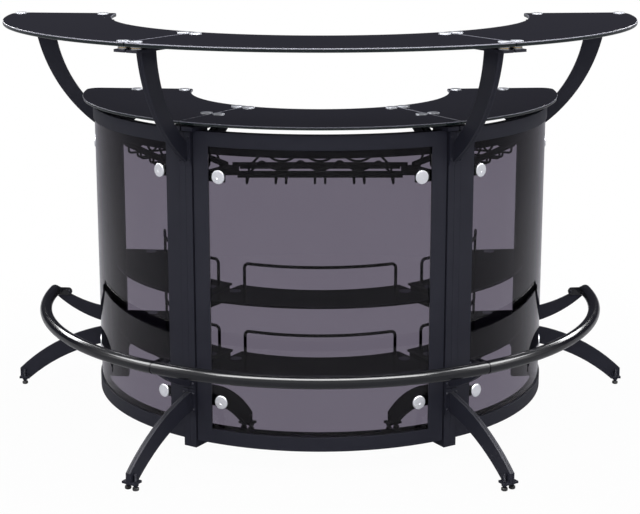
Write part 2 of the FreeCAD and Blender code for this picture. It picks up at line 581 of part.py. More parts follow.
def side_frame(label, index, hand):
    """A post with the bearers of the lower top, the shelves and the rack welded to it."""
    body = new_body(label)
    post = box_corners(POST_BACK, "post_face_radius", "post_bottom", f"{BEARER_BOTTOM} + joint_overlap")
    side_plate(body, "post", post, hand, "seam_clearance", "post_width")
    near, far = f"{-hand} * (seam_clearance + post_wall)", f"{-hand} * ({POST_INSIDE} - post_wall)"
    low, high = sorted((near, far), key=number)
    bore = box_corners(f"{POST_BACK} + post_wall", "post_face_radius - post_wall", low, high)
    pocket(body, "hollow", closed_outline(body, "XY_Plane", "bore", bore), backwards=True)
    bearer = box_corners(
        f"{LOWER_INNER} + bar_setback",
        f"{LOWER_OUTER} - bar_setback",
        BEARER_BOTTOM,
        BEARER_TOP,
    )
    side_plate(body, "bearer", bearer, hand, "bar_seam_offset", "bar_width")
    brace = (
        (f"{POST_BACK} + joint_overlap", f"{BEARER_BOTTOM} - brace_lower_drop", None),
        (f"{POST_BACK} + joint_overlap", f"{BEARER_BOTTOM} - brace_upper_drop", None),
        (f"{POST_BACK} - brace_short_reach", f"{BEARER_BOTTOM} + joint_overlap", None),
        (f"{POST_BACK} - brace_long_reach", f"{BEARER_BOTTOM} + joint_overlap", None),
    )
    brace_start = "seam_clearance + (post_width - brace_thickness) / 2"
    side_plate(body, "brace", brace, hand, brace_start, "brace_thickness")
    for level, height in SHELF_HEIGHTS:
        top = f"{height} - shelf_thickness"
        arm = box_corners(
            f"{SHELF_INNER} + bar_setback",
            SHELF_OUTER,
            f"{top} - shelf_bearer_height",
            top,
        )
        weld = f"({POST_INSIDE} - joint_overlap)"
        bearer_width = "shelf_bearer_width + joint_overlap"
        side_plate(body, level + "_shelf_bearer", arm, hand, weld, bearer_width)
        tab_underside = f"({top} - shelf_tab_thickness)"
        tab = box_corners(
            f"{SHELF_CAP_ALONG} - cap_diameter / 2",
            f"{SHELF_CAP_ALONG} + cap_diameter / 2",
            tab_underside,
            top,
        )
        tab_end = "(shelf_cap_offset + cap_diameter / 2)"
        side_plate(body, level + "_shelf_tab", tab, hand, weld, f"{tab_end} - {weld}")
        side_stem_hole(
            body, hand, SHELF_CAP_ALONG, "shelf_cap_offset", tab_underside, "shelf_tab_thickness"
        )
    bar_underside = "(rack_height - rack_bar / 2)"
    rear_bar = f"(({RACK_REAR} - {POST_INSIDE} / 2 * sin({HALF})) / cos({HALF}))"
    rack_arm = box_corners(
        f"{rear_bar} - rack_bearer_reach",
        f"{POST_BACK} + joint_overlap",
        f"{bar_underside} - rack_bearer_height",
        bar_underside,
    )
    side_plate(body, "rack_bearer", rack_arm, hand, "seam_clearance", "post_width")
    cleat = box_corners(
        f"{FRONT_BAR_ALONG} - cleat_length / 2",
        f"{FRONT_BAR_ALONG} + cleat_length / 2",
        f"{bar_underside} - cleat_height",
        bar_underside,
    )
    cleat_start = f"{POST_INSIDE} - joint_overlap"
    side_plate(body, "cleat", cleat, hand, cleat_start, "cleat_width + joint_overlap")
    wall_depth = "post_wall + 2 * joint_overlap"
    front_wall = "post_face_radius - post_wall - joint_overlap"
    for heights in (ARM_BOLTS, LEG_BOLTS, BRACKET_BOLTS):
        bolt_holes(body, hand, heights, front_wall, wall_depth)
    bolt_holes(body, hand, LEG_BOLTS, f"{POST_BACK} - joint_overlap", wall_depth)
    for along in FIXINGS["lower"]:
        side_stem_hole(body, hand, along, "fixing_seam_offset", BEARER_BOTTOM, "bearer_height")
    keep(body, side_place(index, hand))


def arm(label, index, hand):
    """A curved tapering plate from the post up to the flat bar under the upper top."""
    body = new_body(label)
    root = "post_face_radius + joint_overlap"
    top = f"{BAR_BOTTOM} + joint_overlap"
    corners = (
        (root, "arm_tip_height", ("arm_outer_bend", "left")),
        ("upper_outer_radius - arm_top_setback", top, None),
        ("upper_outer_radius - arm_top_setback - arm_top_width", top, ("arm_inner_bend", "right")),
        (root, "arm_root_height", None),
    )
    side_plate(body, "plate", corners, hand, "seam_clearance", "arm_thickness")
    flange_top = "arm_flange_bottom + arm_flange_height"
    flange = box_corners("post_face_radius", FLANGE_FACE, "arm_flange_bottom", flange_top)
    side_plate(body, "flange", flange, hand, "seam_clearance", "post_width")
    bar = box_corners(
        f"{UPPER_INNER} + bar_setback",
        "upper_outer_radius - bar_setback",
        BAR_BOTTOM,
        BAR_TOP,
    )
    side_plate(body, "bar", bar, hand, "bar_seam_offset", "bar_width")
    flange_hole_depth = "flange_thickness + 2 * joint_overlap"
    bolt_holes(body, hand, ARM_BOLTS, "post_face_radius - joint_overlap", flange_hole_depth)
    for along in FIXINGS["upper"]:
        spot = placed(along, f"{-hand} * fixing_seam_offset", f"{BAR_BOTTOM} - joint_overlap")
        drill(body, "stem_hole", STEM_HOLE_RADIUS, "bar_height + 2 * joint_overlap", spot)
    keep(body, side_place(index, hand))


def leg_pattern(label, hand, outward):
    """One arched leg: plate, bolting flange and the small plate that holds its levelling foot."""
    body = new_body(label)
    if outward:
        face, flange_end = "post_face_radius", FLANGE_FACE
        root, bend = "post_face_radius + joint_overlap", "leg_bend"
        tip, heel = LEG_TIP, LEG_HEEL
        foot, under, over = OUTER_FOOT, "right", "left"
    else:
        face, flange_end = POST_BACK, INNER_FLANGE_FACE
        root, bend = f"{POST_BACK} - joint_overlap", "inner_bend"
        tip, heel = INNER_TIP, INNER_HEEL
        foot, under, over = INNER_FOOT, "left", "right"
    corners = (
        (root, "leg_root_bottom", (bend, under)),
        (heel, "leg_tip_bottom", None),
        (tip, "leg_tip_bottom", None),
        (tip, "leg_tip_top", (bend, over)),
        (root, "leg_root_top", None),
    )
    side_plate(body, "plate", corners, hand, "seam_clearance", "leg_thickness")
    low, high = sorted((face, flange_end), key=number)
    flange_bottom = "leg_root_bottom - leg_flange_margin"
    flange = box_corners(low, high, flange_bottom, "leg_root_top + leg_flange_margin")
    side_plate(body, "flange", flange, hand, "seam_clearance", "post_width")
    low, high = sorted((heel, tip), key=number)
    foot_plate = box_corners(low, high, "leg_tip_bottom", FOOT_PLATE_TOP)
    side_plate(body, "foot_plate", foot_plate, hand, "seam_clearance", "foot_plate_width")
    spot = placed(foot, f"{-hand} * foot_seam_offset", "leg_tip_bottom - joint_overlap")
    drill(body, "screw_hole", SCREW_HOLE_RADIUS, "foot_plate_thickness + 2 * joint_overlap", spot)
    low = sorted((face, flange_end), key=number)[0]
    bolt_holes(body, hand, LEG_BOLTS, f"{low} - joint_overlap", "flange_thickness + 2 * joint_overlap")
    return body


def bracket_pattern(label, hand):
    """One rail bracket: an upswept plate that ends against the rail, on its bolting flange."""
    body = new_body(label)
    seat = "(rail_diameter / 2 + bracket_rail_gap)"
    root = "post_face_radius + joint_overlap"
    corners = (
        (root, "bracket_root_bottom", ("bracket_bend", "left")),
        (f"{RAIL_RADIUS} - {seat} * cos(60)", f"rail_height - {seat} * sin(60)", (seat, "right")),
        (f"{RAIL_RADIUS} - {seat} * cos(45)", f"rail_height + {seat} * sin(45)", ("bracket_bend", "right")),
        (root, "bracket_root_top", None),
    )
    side_plate(body, "plate", corners, hand, "seam_clearance", "bracket_thickness")
    flange = box_corners(
        "post_face_radius",
        FLANGE_FACE,
        "bracket_root_bottom - bracket_flange_margin",
        "bracket_root_top + bracket_flange_margin",
    )
    side_plate(body, "flange", flange, hand, "seam_clearance", "post_width")
    flange_hole_depth = "flange_thickness + 2 * joint_overlap"
    bolt_holes(body, hand, BRACKET_BOLTS, "post_face_radius - joint_overlap", flange_hole_depth)
    across = f"{-hand} * ({TAB_START} + joint_overlap)"
    spot = placed(TAB_BOLT_RADIUS, across, "rail_height", roll=f"{hand} * -90")
    drill(body, "tab_bolt_hole", BOLT_HOLE_RADIUS, f"{TAB_START} + 2 * joint_overlap", spot)
    return body


def foot_rail(label, index):
    """A bent tube with a bolting tab near each end."""
    end_angle = f"asin(rail_end_gap / {RAIL_RADIUS})"
    sweep = f"unit_span * 1 deg - 2 * {end_angle}"
    rings = []
    for name, radius in (("tube", "rail_diameter / 2"), ("bore", "rail_diameter / 2 - rail_wall")):
        ring = doc.addObject("Part::Torus", f"{label}_{name}")
        bind(ring, "Radius1", RAIL_RADIUS)
        bind(ring, "Radius2", radius)
        bind(ring, "Angle3", sweep)
        bind(ring, "Placement", placed(z="rail_height", yaw=f"-90 deg - ({sweep}) / 2"))
        rings.append(ring)
    tube = doc.addObject("Part::Cut", f"{label}_hollow")
    tube.Base, tube.Tool = rings
    pieces = [tube]
    weld = "(rail_diameter / 2 - rail_wall / 2)"
    half_tab = f"({weld} * sin(45))"
    tab_end = f"({RAIL_RADIUS} - rail_diameter / 2 - lug_tab_length + {half_tab})"
    corners = (
        (f"{RAIL_RADIUS} - {half_tab}", f"rail_height - {half_tab}", (weld, "right")),
        (f"{RAIL_RADIUS} - {half_tab}", f"rail_height + {half_tab}", None),
        (tab_end, f"rail_height + {half_tab}", (f"{half_tab} * 1.05", "left")),
        (tab_end, f"rail_height - {half_tab}", None),
    )
    for hand in HANDS:
        tab = new_body(f"{label}_tab")
        side_plate(tab, "tab", corners, hand, TAB_START, "lug_tab_thickness")
        across = f"{-hand} * ({TAB_START} + lug_tab_thickness + joint_overlap)"
        spot = placed(TAB_BOLT_RADIUS, across, "rail_height", roll=f"{hand} * -90")
        drill(tab, "bolt_hole", BOLT_HOLE_RADIUS, "lug_tab_thickness + 2 * joint_overlap", spot)
        bind(tab, "Placement", side_place(0, hand, y="0"))
        pieces.append(tab)
    rail = doc.addObject("Part::MultiFuse", label)
    rail.Shapes = pieces
    keep(rail, unit_place(index))


def levelling_foot(label, index, hand, along):
    """A round pad on a vertical screw."""
    body = new_body(label)
    pad_radius = "foot_pad_diameter / 2"
    screw_radius = "foot_screw_diameter / 2"
    axis = "0"
    profile = (
        (axis, "0", None),
        (f"{pad_radius} - foot_pad_bevel", "0", None),
        (pad_radius, "foot_pad_bevel", None),
        (pad_radius, "foot_pad_height - foot_pad_bevel", None),
        (f"{pad_radius} - foot_pad_bevel", "foot_pad_height", None),
        (screw_radius, "foot_pad_height", None),
        (screw_radius, "foot_screw_top", None),
        (axis, "foot_screw_top", None),
    )
    turned(body, "foot", profile)
    side = f"({index} + {hand} / 2) * unit_span"
    inward = f"{hand} * foot_seam_offset"
    x = f"{along} * sin({side}) - {inward} * cos({side})"
    y = f"{AXIS_Y} - {along} * cos({side}) - {inward} * sin({side})"
    keep(body, placed(x, y))


def group(label, shapes):
    """Equal loose pieces that share one node, placed about the bar's upright axis."""
    node = doc.addObject("Part::Feature", label)
    node.Shape = Part.makeCompound(shapes)
    node.Placement = pose(placed(y=AXIS_Y))
    nodes.append(node)


def copies(pattern, places):
    doc.recompute()
    return [pattern.Shape.copy().transformed(place.toMatrix()) for place in places]


def at_side(index, hand, spot):
    """A place given in a side's own frame, about the bar's upright axis."""
    return pose(side_place(index, hand, y="0")).multiply(pose(spot))


def at_unit(index, spot):
    return pose(unit_place(index, y="0")).multiply(pose(spot))


def cap_pattern(label, diameter, thickness, stem, stem_length):
    """A disc with a slightly rounded rim on a screw stem that points down."""
    body = new_body(label)
    bevel = f"{thickness} / 3"
    profile = (
        ("0", f"-({stem_length})", None),
        (f"{stem} / 2", f"-({stem_length})", None),
        (f"{stem} / 2", "0", None),
        (f"{diameter} / 2", "0", None),
        (f"{diameter} / 2", f"{thickness} - {bevel}", None),
        (f"{diameter} / 2 - {bevel}", thickness, None),
        ("0", thickness, None),
    )
    turned(body, "cap", profile)
    return body


def standoff_pattern(label, height):
    body = new_body(label)
    profile = (
        (STEM_HOLE_RADIUS, "0", None),
        ("standoff_diameter / 2", "0", None),
        ("standoff_diameter / 2", height, None),
        (STEM_HOLE_RADIUS, height, None),
    )
    turned(body, "puck", profile)
    return body


def fixing_places(level, height):
    spots = []
    for name, index, hand in SIDES:
        for along in FIXINGS[level]:
            spot = placed(along, f"{-hand} * fixing_seam_offset", height)
            spots.append(at_side(index, hand, spot))
    return spots


def top_fixings():
    """Disc caps on the glass tops and shelves, and the pucks between the tops and their bars."""
    caps, pucks = [], []
    for level, carrier in (("upper", "bar_height"), ("lower", "bearer_height")):
        standoff = f"{level}_standoff_height"
        stem_length = f"{level}_top_thickness + {standoff} + {carrier}"
        cap = cap_pattern(
            f"{level}_cap_pattern", "cap_diameter", "cap_thickness", "stem_diameter", stem_length
        )
        caps += copies(cap, fixing_places(level, f"{level}_top_height"))
        puck = standoff_pattern(f"{level}_puck_pattern", standoff)
        underside = f"{level}_top_height - {level}_top_thickness"
        pucks += copies(puck, fixing_places(level, f"{underside} - {standoff}"))
    stem_length = "shelf_thickness + shelf_tab_thickness"
    cap = cap_pattern("shelf_cap_pattern", "cap_diameter", "cap_thickness", "stem_diameter", stem_length)
    for level, height in SHELF_HEIGHTS:
        for name, index, hand in SIDES:
            spot = placed(SHELF_CAP_ALONG, f"{-hand} * shelf_cap_offset", height)
            caps += copies(cap, [at_side(index, hand, spot)])
    group("top_caps", caps)
    group("top_standoffs", pucks)


def panel_caps():
    """Disc caps that clamp the smoked panels to the lugs of their frames."""
    stem_length = "panel_thickness + lug_gap + lug_thickness"
    cap = cap_pattern(
        "panel_cap_pattern", "panel_cap_diameter", "panel_cap_thickness", "panel_stem_diameter", stem_length
    )
    spots = []
    for name, index in UNITS:
        for hand in HANDS:
            bearing = f"{hand} * {CAP_BEARING}"
            along = f"({PANEL_FACE} + panel_cap_gap)"
            for height in PANEL_CAP_HEIGHTS:
                spot = placed(
                    f"{along} * sin({bearing})",
                    f"-{along} * cos({bearing})",
                    height,
                    yaw=f"{bearing} - 90 deg",
                    pitch="90",
                )
                spots.append(at_unit(index, spot))
    group("panel_caps", copies(cap, spots))


def legs():
    for label, outward in (("outer_legs", True), ("inner_legs", False)):
        shapes = []
        for hand in HANDS:
            word = "right" if hand > 0 else "left"
            leg = leg_pattern(f"{label}_{word}_pattern", hand, outward)
            shapes += copies(leg, [pose(side_place(index, hand, y="0")) for name, index in UNITS])
        group(label, shapes)


def rail_brackets():
    shapes = []
    for hand in HANDS:
        word = "right" if hand > 0 else "left"
        bracket = bracket_pattern(f"rail_bracket_{word}_pattern", hand)
        shapes += copies(bracket, [pose(side_place(index, hand, y="0")) for name, index in UNITS])
    group("rail_brackets", shapes)


def lock_nuts():
    """Hexagon nuts on the levelling screws, tight under the leg tips."""
    body = new_body("lock_nut_pattern")
    across_corners = "(nut_across_flats / 2 / cos(30))"
    corners = [
        (f"{across_corners} * cos({60 * side})", f"{across_corners} * sin({60 * side})", None)
        for side in range(6)
    ]
    pad(body, "hexagon", closed_outline(body, "XY_Plane", "outline", corners), "nut_height")
    drill(body, "thread", SCREW_HOLE_RADIUS, "nut_height + 2 * joint_overlap", placed(z="-joint_overlap"))
    spots = []
    for name, index, hand in SIDES:
        for along in (OUTER_FOOT, INNER_FOOT):
            spot = placed(along, f"{-hand} * foot_seam_offset", "leg_tip_bottom - nut_height")
            spots.append(at_side(index, hand, spot))
    group("foot_lock_nuts", copies(body, spots))


def flange_bolts():
    """Button-head bolts of the arms, legs and brackets, and of the tabs on the foot rail."""
    bolt = cap_pattern("bolt_pattern", "bolt_head_diameter", "bolt_head_height", "bolt_diameter", "bolt_grip")
    spots = []
    for name, index, hand in SIDES:
        across = f"{-hand} * bolt_seam_offset"
        for height in ARM_BOLTS + LEG_BOLTS + BRACKET_BOLTS:
            spots.append(at_side(index, hand, placed(FLANGE_FACE, across, height, pitch="90")))
        for height in LEG_BOLTS:
            spots.append(at_side(index, hand, placed(INNER_FLANGE_FACE, across, height, pitch="-90")))
        tab_face = f"{-hand} * ({TAB_START} + lug_tab_thickness)"
        spot = placed(TAB_BOLT_RADIUS, tab_face, "rail_height", roll=f"{hand} * 90")
        spots.append(at_side(index, hand, spot))
    group("flange_bolts", copies(bolt, spots))


def ring_piece(radius, start, sweep):
    """A solid length of the foot rail's curve, from a bearing clockwise of the front."""
    profile = Part.Face(Part.Wire(Part.makeCircle(
        radius,
        FreeCAD.Vector(0, -number(RAIL_RADIUS), number("rail_height")),
        FreeCAD.Vector(1, 0, 0),
    )))
    upright = FreeCAD.Vector(0, 0, 1)
    profile.rotate(FreeCAD.Vector(), upright, start)
    return profile.revolve(FreeCAD.Vector(), upright, sweep)


def rail_joiners():
    """Sleeves inside the rail tubes at the two seams, and plugs at the two free ends."""
    bore = number("rail_diameter / 2 - rail_wall - joiner_clearance")
    reach = math.degrees(number(f"joiner_half_length / {RAIL_RADIUS}"))
    span = number("unit_span")
    flange = math.degrees(number(f"end_plug_flange / {RAIL_RADIUS}"))
    gap = math.degrees(number(f"rail_end_gap / {RAIL_RADIUS}"))
    shapes = []
    for hand in HANDS:
        shapes.append(ring_piece(bore, hand * span / 2 - reach, 2 * reach))
        end = hand * (1.5 * span - gap)
        spigot = ring_piece(bore, end - hand * reach, hand * reach)
        cap = ring_piece(number("rail_diameter / 2"), end, hand * flange)
        shapes.append(spigot.fuse(cap).removeSplitter())
    group("rail_joiners", shapes)


def bent_path(points, radii):
    """Straight runs between the points, joined by tangent arcs at the inner ones."""
    edges = []
    start = points[0]
    for before, corner, after, radius in zip(points, points[1:], points[2:], radii):
        back = (before - corner).normalize()
        ahead = (after - corner).normalize()
        half_angle = back.getAngle(ahead) / 2
        middle = (back + ahead).normalize()
        arc_start = corner + back * (radius / math.tan(half_angle))
        arc_end = corner + ahead * (radius / math.tan(half_angle))
        arc_middle = corner + middle * (radius / math.sin(half_angle) - radius)
        edges.append(Part.LineSegment(start, arc_start).toShape())
        edges.append(Part.Arc(arc_start, arc_middle, arc_end).toShape())
        start = arc_end
    edges.append(Part.LineSegment(start, points[-1]).toShape())
    return Part.Wire(edges)


def rod(path, diameter):
    """A round wire along a path."""
    first = path.OrderedEdges[0]
    start = first.valueAt(first.FirstParameter)
    along = first.tangentAt(first.FirstParameter)
    profile = Part.Wire(Part.makeCircle(diameter / 2, start, along))
    return path.makePipeShell([profile], True, False)


def straight_rod(start, end, diameter):
    run = end - start
    return Part.makeCylinder(diameter / 2, run.Length, start, run)


def gallery_rail(height):
    """An inverted U of bent wire that stands on a shelf and follows its inner edge."""
    radius = number(f"{SHELF_INNER} + gallery_setback")
    half = math.radians(number("gallery_half_angle"))
    wire = number("gallery_wire")
    bend = number("gallery_bend")
    floor = number(height)
    top = floor + number("gallery_height") - wire / 2
    edges = []
    for hand in HANDS:
        tangent = FreeCAD.Vector(math.cos(half) * hand, math.sin(half), 0)
        rail_end = FreeCAD.Vector(radius * math.sin(half) * hand, -radius * math.cos(half), top)
        leg_top = rail_end + tangent * bend - FreeCAD.Vector(0, 0, bend)
        centre = rail_end - FreeCAD.Vector(0, 0, bend)
        between = centre + (tangent + FreeCAD.Vector(0, 0, 1)).normalize() * bend
        foot = FreeCAD.Vector(leg_top.x, leg_top.y, floor)
        leg = Part.LineSegment(foot, leg_top).toShape()
        corner = Part.Arc(leg_top, between, rail_end).toShape()
        edges += [leg, corner] if hand < 0 else [corner, leg]
        if hand < 0:
            middle = FreeCAD.Vector(0, -radius, top)
            other_end = FreeCAD.Vector(-rail_end.x, rail_end.y, top)
            edges.append(Part.Arc(rail_end, middle, other_end).toShape())
    return rod(Part.Wire(Part.__sortEdges__(edges)), wire)


def wire_node(label, index, shape):
    node = doc.addObject("Part::Feature", label)
    node.Shape = shape
    node.Placement = pose(unit_place(index))
    nodes.append(node)


def cradle_wire(reach):
    """A wire that rises and falls along a rack bar, so that bottles lie in its valleys."""
    pitch = number("cradle_pitch")
    base = number("rack_height")
    peak = base + number("cradle_peak_rise")
    valley = base - number("cradle_valley_drop")
    last_peak = 1.5 * pitch
    end = last_peak + number("cradle_end_run")
    points = [FreeCAD.Vector(-end, -reach, base)]
    radii = []
    for step in range(7):
        is_peak = step % 2 == 0
        points.append(FreeCAD.Vector(-last_peak + step * pitch / 2, -reach, peak if is_peak else valley))
        radii.append(number("cradle_peak_bend" if is_peak else "cradle_valley_bend"))
    points.append(FreeCAD.Vector(end, -reach, base))
    return rod(bent_path(points, radii), number("rack_wire"))


def glass_rack():
    """Two bars that carry bottle cradles above and stemware rails below."""
    height = number("rack_height")
    front = number(RACK_FRONT)
    rear = number(RACK_REAR)
    front_half = number(
        f"({RACK_FRONT} - rack_bar / 2) * tan({HALF}) - {POST_INSIDE} / cos({HALF}) - rack_end_clearance"
    )
    rear_half = number(f"{RACK_REAR} * tan({HALF}) - {POST_INSIDE} / 2 / cos({HALF})")
    cross_half = number("cross_wire_half")
    cross_height = height - number("rack_bar / 2 + cross_wire / 2 - cross_wire_overlap")
    rods = []
    for reach, half in ((front, front_half), (rear, rear_half)):
        left = FreeCAD.Vector(-half, -reach, height)
        right = FreeCAD.Vector(half, -reach, height)
        rods.append(straight_rod(left, right, number("rack_bar")))
        left = FreeCAD.Vector(-cross_half, -reach, cross_height)
        right = FreeCAD.Vector(cross_half, -reach, cross_height)
        rods.append(straight_rod(left, right, number("cross_wire")))
        rods.append(cradle_wire(reach))
    slot = number("stem_slot")
    pair = number("stem_rail_pair")
    bend = number("stem_rail_bend")
    low = height - number("stem_rail_drop")
    for x in (slot / 2, slot / 2 + pair, 1.5 * slot + pair, 1.5 * slot + 2 * pair):
        for hand in HANDS:
            points = [
                FreeCAD.Vector(hand * x, -front, height),
                FreeCAD.Vector(hand * x, -front, low),
                FreeCAD.Vector(hand * x, -rear, low),
                FreeCAD.Vector(hand * x, -rear, height),
            ]
            rods.append(rod(bent_path(points, (bend, bend)), number("stem_rail_wire")))
    return rods[0].multiFuse(rods[1:]).removeSplitter()


rack_shape = glass_rack()
for name, index in UNITS:
    glass_top(f"upper_top_{name}", index, "upper")
    glass_top(f"lower_top_{name}", index, "lower")
    panel_frame(f"panel_frame_{name}", index)
    smoked_panel(f"smoked_panel_{name}", index)
    for level, height in SHELF_HEIGHTS:
        shelf(f"{level}_shelf_{name}", index, height)
    galleries = Part.makeCompound([gallery_rail(height) for level, height in SHELF_HEIGHTS])
    wire_node(f"gallery_rails_{name}", index, galleries)
    wire_node(f"glass_rack_{name}", index, rack_shape.copy())
    foot_rail(f"foot_rail_{name}", index)
for name, index, hand in SIDES:
    side_frame(f"side_frame_{name}", index, hand)
    arm(f"arm_{name}", index, hand)
    levelling_foot(f"foot_{name}_outer", index, hand, OUTER_FOOT)
    levelling_foot(f"foot_{name}_inner", index, hand, INNER_FOOT)
legs()
rail_brackets()
lock_nuts()
top_fixings()
panel_caps()
flange_bolts()
rail_joiners()
doc.recompute()

for thing in doc.Objects:
    if "Invalid" in thing.State or "Error" in thing.State:
        raise RuntimeError(f"{thing.Label} did not build")
for node in nodes:
    if node.Shape.isNull() or not node.Shape.isValid() or not node.Shape.Solids:
        raise RuntimeError(f"{node.Label} is not a sound solid")

os.makedirs("parts", exist_ok=True)
for node in nodes:
    node.Shape.exportStep(f"parts/{node.Label}.step")
print(len(nodes), "sub-parts written")
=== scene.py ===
import math

import bpy
from mathutils import Matrix, Vector


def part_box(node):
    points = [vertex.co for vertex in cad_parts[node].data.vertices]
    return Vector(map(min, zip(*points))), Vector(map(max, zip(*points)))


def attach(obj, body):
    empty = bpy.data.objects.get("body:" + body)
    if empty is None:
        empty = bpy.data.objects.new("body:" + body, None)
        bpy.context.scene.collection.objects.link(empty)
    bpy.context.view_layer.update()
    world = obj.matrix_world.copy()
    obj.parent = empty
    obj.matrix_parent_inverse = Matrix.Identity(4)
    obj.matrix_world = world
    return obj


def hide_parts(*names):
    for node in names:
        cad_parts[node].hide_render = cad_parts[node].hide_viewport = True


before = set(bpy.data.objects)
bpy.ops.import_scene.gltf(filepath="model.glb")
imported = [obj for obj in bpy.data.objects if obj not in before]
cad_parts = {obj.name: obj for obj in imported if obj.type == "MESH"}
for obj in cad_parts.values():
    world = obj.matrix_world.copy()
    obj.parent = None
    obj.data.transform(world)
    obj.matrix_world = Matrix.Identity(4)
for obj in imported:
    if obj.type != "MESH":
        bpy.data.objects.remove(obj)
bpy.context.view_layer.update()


def flat_heights(node):
    """The underside and the face of a flat node."""
    low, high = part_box(node)
    return low[2], high[2]


# The bar is three equal curved units round one upright axis. Its front faces -Y. Lengths are metres.
SPAN = math.radians(63.5)
UNITS = {"left": -1, "front": 0, "right": 1}
# The two sides of each unit: the unit's number, and the hand that the side is on
SIDES = {
    "left_end": (-1, -1),
    "left_seam": (-1, 1),
    "front_left": (0, -1),
    "front_right": (0, 1),
    "right_seam": (1, -1),
    "right_end": (1, 1),
}
UPPER_TOP_RADIUS = 0.840
AXIS_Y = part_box("upper_top_front")[0][1] + UPPER_TOP_RADIUS

# Fixings of the glass: heights, places along the radius and distances from the seam
UPPER_TOP_UNDERSIDE, UPPER_TOP_FACE = flat_heights("upper_top_front")
LOWER_TOP_UNDERSIDE, LOWER_TOP_FACE = flat_heights("lower_top_front")
SHELF_FACES = (flat_heights("upper_shelf_front")[1], flat_heights("lower_shelf_front")[1])
UPPER_PUCK_HEIGHT = 0.0075
LOWER_PUCK_HEIGHT = 0.006
UPPER_FIXINGS = (0.591, 0.818)
LOWER_FIXINGS = (0.371, 0.502)
FIXING_ACROSS = 0.018
SHELF_FIXING = 0.469
SHELF_FIXING_ACROSS = 0.039
TOP_STEM = 0.024
SHELF_STEM = 0.011
PANEL_FACE_RADIUS = 0.610
PANEL_CAP_X = 0.24307
PANEL_CAP_HEIGHTS = (0.161, 0.7267)
PANEL_CAP_GAP = 0.00005

# Bolts of the flanges and of the foot rail's tabs
FLANGE_FACE = 0.621
INNER_FLANGE_FACE = 0.545
BOLT_ACROSS = 0.0135
OUTER_BOLT_HEIGHTS = (0.132, 0.174, 0.200, 0.228, 0.764, 0.820)
INNER_BOLT_HEIGHTS = (0.132, 0.174)
TAB_BOLT_RADIUS = 0.712
TAB_BOLT_ACROSS = 0.012
RAIL_HEIGHT = 0.278

# Levelling feet
FOOT_RADII = {"outer": 0.8525, "inner": 0.3645}
FOOT_ACROSS = 0.0115
FOOT_PAD_TOP = 0.0080
THREAD_PITCH = 0.00125
THREAD_END = 0.0412
SCREW_TOP = 0.0420
NUT_BOTTOM = flat_heights("foot_lock_nuts")[0]

# How far edges are eased, and the length below which an edge stays sharp
UPPER_TOP_EASE = 0.0024
LOWER_TOP_EASE = 0.0022
SHELF_EASE = 0.0010
PANEL_EASE = 0.0005
METAL_EASE = 0.0010
PLATE_EASE = 0.0009
TUBE_EASE = 0.0005
JOINER_EASE = 0.0007
SHORT_EDGE = 0.003
SHORT_TUBE_EDGE = 0.0015

FLAT_ANGLE = math.radians(0.4)
SHARP_ANGLE = math.radians(30)
SMOOTH_ANGLE = math.radians(35)
QUARTER_TURN = math.radians(90)
OUTWARDS = Matrix.Rotation(QUARTER_TURN, 4, "Y")
INWARDS = Matrix.Rotation(-QUARTER_TURN, 4, "Y")

BLACK = (0.0, 0.0, 0.0, 1.0)
WHITE = (1.0, 1.0, 1.0, 1.0)

CAMERA_PLACE = (0.0, -3.8195, 1.430)
CAMERA_PITCH = math.radians(12.23)
CAMERA_LENS = 87.23
CAMERA_SHIFT = (-0.00014, -0.070)
SENSOR_WIDTH = 36.0


class Wire:
    """One socket of a finish. Arithmetic on it adds Math nodes."""

    def __init__(self, finish, socket):
        self.finish = finish
        self.socket = socket

    def math(self, operation, first, second):
        return self.finish.node("ShaderNodeMath", {"operation": operation}, {0: first, 1: second})

    def __add__(self, other):
        return self.math("ADD", self, other)

    def __radd__(self, other):
        return self.math("ADD", other, self)

    def __rsub__(self, other):
        return self.math("SUBTRACT", other, self)

    def __mul__(self, other):
        return self.math("MULTIPLY", self, other)

    def larger(self, other):
        return self.math("MAXIMUM", self, other)


class Finish:
    """The nodes of one material, or of the world."""

    def __init__(self, owner):
        self.owner = owner
        owner.use_nodes = True
        self.tree = owner.node_tree
        self.tree.nodes.clear()

    def node(self, kind, settings, sockets, output=0):
        made = self.tree.nodes.new(kind)
        for key, value in settings.items():
            if key == "stops":
                for stop, (place, colour) in zip(made.color_ramp.elements, value):
                    stop.position = place
                    stop.color = colour
            else:
                setattr(made, key, value)
        for key, value in sockets.items():
            if isinstance(value, Wire):
                self.tree.links.new(value.socket, made.inputs[key])
            else:
                made.inputs[key].default_value = value
        if made.outputs:
            return Wire(self, made.outputs[output])

    def spot(self):
        return self.node("ShaderNodeTexCoord", {}, {}, "Object")

    def stretched(self, scale):
        return self.node("ShaderNodeMapping", {}, {"Vector": self.spot(), "Scale": scale})

    def noise(self, spot, scale, detail=3.0):
        return self.node("ShaderNodeTexNoise", {}, {"Vector": spot, "Scale": scale, "Detail": detail})

    def blend(self, factor, first, second):
        mix = {"data_type": "RGBA"}
        return self.node("ShaderNodeMix", mix, {0: factor, 6: first, 7: second}, 2)

    def ramp(self, value, start, end, first=BLACK, last=WHITE):
        return self.node("ShaderNodeValToRGB", {"stops": ((start, first), (end, last))}, {0: value})

    def bump(self, height, strength, distance):
        return self.node("ShaderNodeBump", {}, {"Height": height, "Strength": strength, "Distance": distance})

    def along(self, vector, axis):
        return self.node("ShaderNodeSeparateXYZ", {}, {0: vector}, axis)

    def ray(self, kind):
        return self.node("ShaderNodeLightPath", {}, {}, kind)

    def surface(self, sockets):
        shader = self.node("ShaderNodeBsdfPrincipled", {}, sockets)
        self.node("ShaderNodeOutputMaterial", {}, {"Surface": shader})
        return self.owner


def new_finish(name):
    return Finish(bpy.data.materials.new(name))


